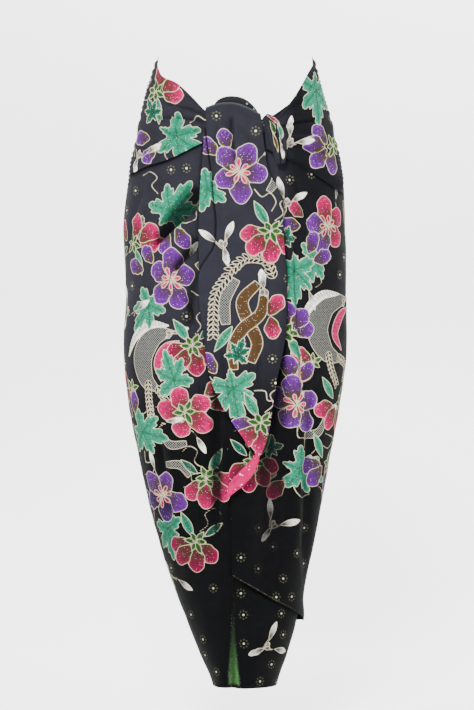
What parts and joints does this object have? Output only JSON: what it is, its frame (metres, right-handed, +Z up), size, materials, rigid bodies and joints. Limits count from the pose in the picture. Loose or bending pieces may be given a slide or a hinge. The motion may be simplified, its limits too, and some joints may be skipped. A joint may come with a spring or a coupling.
{
  "type": "batik sarong",
  "caption": "Long batik cloth wound round the hips as an ankle-length skirt and tied low in front, its free end hanging from the knot.",
  "frame": {"origin": "on the wearer's axis, at the height where the tied waist grips, 60 mm below the two peaks over the hips", "axes": "+Z up, the front with the knot and the tail faces -Y, +X is the viewer's right"},
  "size_m": [0.3735, 0.2956, 1.049],
  "materials": {
    "black_batik": "soft cotton, navy black with a figured batik pattern",
    "rose_batik": "soft cotton, the rose-pink part of the pattern",
    "pale_batik": "soft cotton, the cloth's rolled edge with undyed wax lines"
  },
  "bodies": {
    "root": {"wrap_under": "black_batik", "wrap_back": "black_batik", "wrap_over": "black_batik", "waist_left": "black_batik", "waist_right": "black_batik", "front_tail": "black_batik", "tail_pleat": "black_batik", "knot_turn": "black_batik", "knot_roll": "pale_batik", "tail_tip": "rose_batik"}
  },
  "joints": []
}
